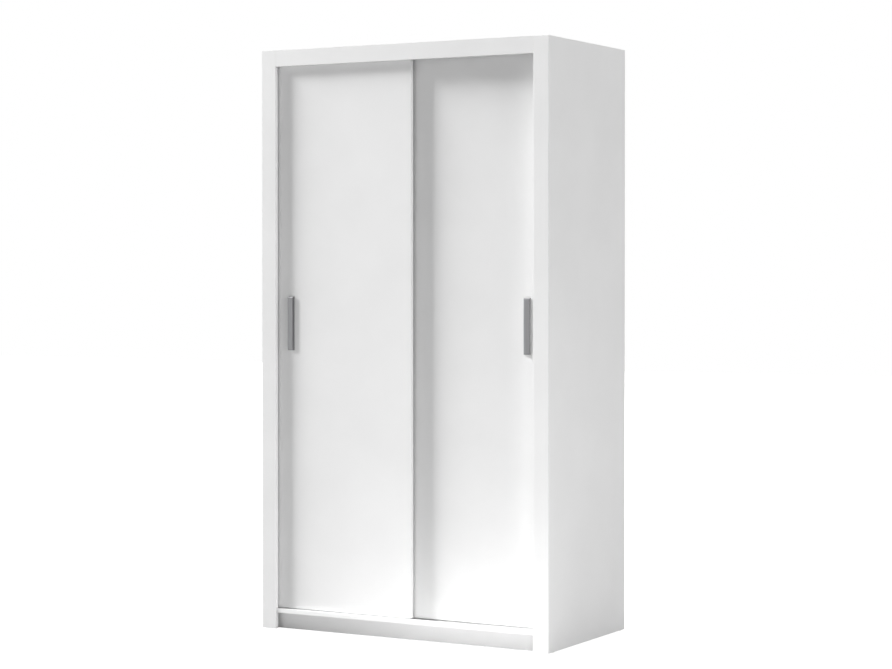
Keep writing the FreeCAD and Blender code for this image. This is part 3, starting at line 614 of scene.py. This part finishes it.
def shapeWheel(node, name):
    low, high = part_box(node)
    middle, radius, width = (low + high) / 2, (high.z - low.z) / 2, high.y - low.y
    piece = newPrimitive("cylinder", name, vertices=wheelCut["sides"], radius=radius,
                         depth=width, location=middle, rotation=(math.pi / 2, 0, 0))
    openEdit(piece, "FACE")
    web = radius / mm - wheelCut["rim"] - wheelCut["hub"] - 2 * wheelCut["draft"]
    pick(piece, "faces", lambda face: abs(face.normal.y) > squarely)
    for across, depth in (
        (wheelCut["rim"], 0),
        (wheelCut["draft"], -wheelCut["dish"]),
        (web, 0),
        (wheelCut["draft"], wheelCut["dish"]),
        (wheelCut["hub"] - wheelCut["bore"], 0),
    ):
        bpy.ops.mesh.inset(thickness=across * mm, depth=depth * mm)
    bpy.ops.mesh.bridge_edge_loops()
    closeEdit()
    applyModifier(piece, "BEVEL", width=wheelCut["ease"] * mm, segments=wheelCut["steps"],
                  limit_method="ANGLE", angle_limit=math.radians(wheelCut["corner"]))
    giveFinishes(piece, ("nylon",))
    smoothBy(piece, wheelCut["smooth"])
    hangUp(piece, node, slot="wheel_nylon")


for side in ("left", "right"):
    for end in "ab":
        shapeWheel(f"door_{side}_wheel_{end}", f"{side}DoorWheel{end.upper()}")
print("wheels made")


# The rail: a round tube pulled to an oval, and hollow.
railCut = {"sides": 48, "wall": 1.2, "smooth": 35}


def shapeRail():
    low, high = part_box("hanging_rail")
    radius = (high.y - low.y) / 2
    stretch = (high.z - low.z) / 2 - radius
    piece = newPrimitive("cylinder", "hangingRailTube", vertices=railCut["sides"], radius=radius,
                         depth=high.x - low.x, end_fill_type="NOTHING", location=(low + high) / 2,
                         rotation=(0, math.pi / 2, 0))
    level = (low.z + high.z) / 2
    openEdit(piece)
    for sign in (1, -1):
        pick(piece, "verts", lambda corner: sign * (corner.co.z - level) > near)
        bpy.ops.transform.translate(value=(0, 0, sign * stretch))
    closeEdit()
    applyModifier(piece, "SOLIDIFY", thickness=railCut["wall"] * mm, offset=-1)
    giveFinishes(piece, ("chrome",))
    smoothBy(piece, railCut["smooth"])
    hangUp(piece, "hanging_rail", slot="chrome_tube")


shapeRail()
print("hanging rail made")


# Merged copies with eased corners: CAD node, finish, easing in millimetres, slot.
fittings = {
    "topTrackExtrusion": ("top_track", "extrusion", 0.3, "anodised_aluminium"),
    "frontBottomTrack": ("bottom_track_front", "extrusion", 0.25, "anodised_aluminium"),
    "rearBottomTrack": ("bottom_track_rear", "extrusion", 0.25, "anodised_aluminium"),
    "railSocketPair": ("rail_sockets", "castZinc", 0.4, "zinc_casting"),
    "wallBracketPair": ("wall_brackets", "zincPlate", 0.3, "zinc_steel"),
    "floorGlideSet": ("floor_glides", "whitePlastic", 0.4, "white_plastic"),
    "doorBumperSet": ("door_bumpers", "clearPvc", 0.5, "clear_rubber"),
    "shelfPinSet": ("shelf_pins", "zincPlate", 0.25, "zinc_steel"),
    "camLockSet": ("cam_locks", "castZinc", 0.3, "zinc_casting"),
    **{f"{side}DoorRollerHousings":
       (f"door_{side}_roller_housings", "greyPlastic", 0.4, "grey_plastic")
       for side in ("left", "right")},
    **{f"{side}DoorGuides": (f"door_{side}_guides", "greyPlastic", 0.4, "grey_plastic")
       for side in ("left", "right")},
}
fittingCut = {"steps": 2, "corner": 50, "smooth": 40}
for name, (node, finish, ease, slot) in fittings.items():
    piece = copyNode(node, name)
    applyModifier(piece, "BEVEL", width=ease * mm, segments=fittingCut["steps"],
                  limit_method="ANGLE", angle_limit=math.radians(fittingCut["corner"]))
    giveFinishes(piece, (finish,))
    smoothBy(piece, fittingCut["smooth"])
    hangUp(piece, node, slot=slot)
print("fittings eased:", len(fittings))

# Fastenings keep their CAD shape and take the real finish.
keptNodes = {
    "zincPlate": ["cam_bolts", "back_nails", "rail_socket_screws", "wall_bracket_screws",
                  "top_track_screws", "door_left_axles", "door_right_axles",
                  "door_left_handle_screws", "door_right_handle_screws",
                  "door_left_roller_screws", "door_right_roller_screws"],
    "beech": ["panel_dowels", "plinth_dowels", "frame_dowels"],
}
for finish, names in keptNodes.items():
    for node in names:
        for place in nodes[node].material_slots:
            place.material = finishes[finish]
print("fastenings finished:", sum(len(names) for names in keptNodes.values()))


# The floor: matt paper that glows white to the camera, as a light table does. Its own tone is a
# middle grey, so that it throws little light up at the front.
floorSheet = {"size": 40, "drop": 0.2, "tones": ((0.3, "#8C8C8C"), (0.7, "#909090")), "cloud": 900,
              "rough": 0.9}


def layFloor():
    floor = newPrimitive("plane", "studioFloor", size=floorSheet["size"],
                         location=(0, 0, -floorSheet["drop"] * mm))
    material, tree, shader, place = newMaterial("greyMattPaper", Roughness=floorSheet["rough"])
    cloud = addNode(tree, "TexNoise", {"Vector": place},
                    {"Scale": perMetre(floorSheet["cloud"]), "Detail": 1.0})
    tone = addNode(tree, "ValToRGB", {"Fac": cloud.outputs["Fac"]}, stops=floorSheet["tones"])
    linkInto(tree, shader, {"Base Color": tone.outputs[0]})
    seen = addNode(tree, "LightPath").outputs["Is Camera Ray"]
    glow = addNode(tree, "Emission", {"Strength": seen})
    both = addNode(tree, "AddShader", {0: shader.outputs[0], 1: glow.outputs[0]})
    output = next(node for node in tree.nodes if node.type == "OUTPUT_MATERIAL")
    linkInto(tree, output, {"Surface": both.outputs[0]})
    floor.data.materials.append(material)


layFloor()

# Soft boxes: where each stands and the place it faces, in metres, its width and height, and its
# watts. The key rakes the doors from far off, and the two small ones lift the plinth and the foot.
softBoxes = {
    "keyBox": {"at": (-25.2, -4.18, 17.0), "to": (0, -0.3, 1.1), "size": (8, 8), "power": 29800},
    "sideBox": {"at": (14.5, -2.0, 4.7), "to": (0, -0.3, 1.1), "size": (5, 5), "power": 1060},
    "kickBox": {"at": (1.5, -1.3, 0.25), "to": (0.5, -0.3, 0.1), "size": (0.4, 0.3), "power": 3.7},
    "plinthCard": {"at": (0.3, -0.7, 0.06), "to": (0.3, -0.3, 0.03), "size": (0.9, 0.08),
                   "power": 0.95},
    "frontCard": {"at": (-4, -7.2, 1.35), "to": (0, -0.3, 1.1), "size": (4.5, 4.5), "power": 60},
    "frameBox": {"at": (-9, -10, 8), "to": (0, -0.3, 1.1), "size": (4, 4), "power": 1270},
    "leftBox": {"at": (-14, 3.5, 5), "to": (0, 0, 1.1), "size": (5, 5), "power": 450},
    "backBox": {"at": (-1, 10, 12), "to": (0, 0, 1.1), "size": (6, 6), "power": 1900},
}
for name, box in softBoxes.items():
    lamp = bpy.data.lights.new(name, "AREA")
    lamp.shape, lamp.energy = "RECTANGLE", box["power"]
    lamp.size, lamp.size_y = box["size"]
    holder = bpy.data.objects.new(name, lamp)
    bpy.context.scene.collection.objects.link(holder)
    holder.location = box["at"]
    facing = Vector(box["to"]) - Vector(box["at"])
    holder.rotation_euler = facing.to_track_quat("-Z", "Y").to_euler()
    holder.visible_camera = False

# The key box rakes across the doors. It would bleach the boards that face it squarely, so they are
# spared it, and the left and top of the frame are lit by a box of their own.
frameBoards = ["leftStile", "headerBoard"]
keyBoards = ["rightStile", "frontPlinthBoard", "bottomBoard"]
spared = [name for name in boards if name not in keyBoards]
for name, pieces, state in (("keyBox", spared, "EXCLUDE"), ("frameBox", frameBoards, "INCLUDE")):
    group = bpy.data.collections.new(f"{name}Boards")
    for piece in pieces:
        group.objects.link(bpy.data.objects[piece])
    for entry in group.collection_objects:
        entry.light_linking.link_state = state
    bpy.data.objects[name].light_linking.receiver_collection = group

# The room: dim and even, behind a white backdrop that lights nothing.
room = {"ambient": 0.1, "backdrop": 1.0}
world = bpy.data.worlds.new("studioRoom")
bpy.context.scene.world = world
world.use_nodes = True
tree = world.node_tree
tree.nodes.clear()
white = linearColour("#FFFFFF")
ambient = addNode(tree, "Background", values={"Color": white, "Strength": room["ambient"]})
backdrop = addNode(tree, "Background", values={"Color": white, "Strength": room["backdrop"]})
seen = addNode(tree, "LightPath").outputs["Is Camera Ray"]
either = addNode(tree, "MixShader", {0: seen, 1: ambient.outputs[0], 2: backdrop.outputs[0]})
addNode(tree, "OutputWorld", {"Surface": either.outputs[0]})

# The camera: its place in metres, its tilt and turn in degrees, its lens and sensor in millimetres,
# and how far it sees in metres.
cameraSetup = {"at": (4.1399, -7.3180, 1.33905), "tilt": -0.741, "turn": 29.423,
               "lens": 90.85, "sensor": 36, "shift": -0.0387, "reach": 200}
camera = bpy.data.objects.new("camera", bpy.data.cameras.new("camera"))
bpy.context.scene.collection.objects.link(camera)
camera.location = cameraSetup["at"]
level = 90  # degrees that lift the camera from looking straight down to looking level
angles = (level + cameraSetup["tilt"], 0, cameraSetup["turn"])
camera.rotation_euler = [math.radians(angle) for angle in angles]
camera.data.lens, camera.data.sensor_width = cameraSetup["lens"], cameraSetup["sensor"]
camera.data.shift_y = cameraSetup["shift"]
camera.data.clip_end = cameraSetup["reach"]
bpy.context.scene.camera = camera
bpy.context.scene.view_settings.view_transform = "Standard"
print("studio set")
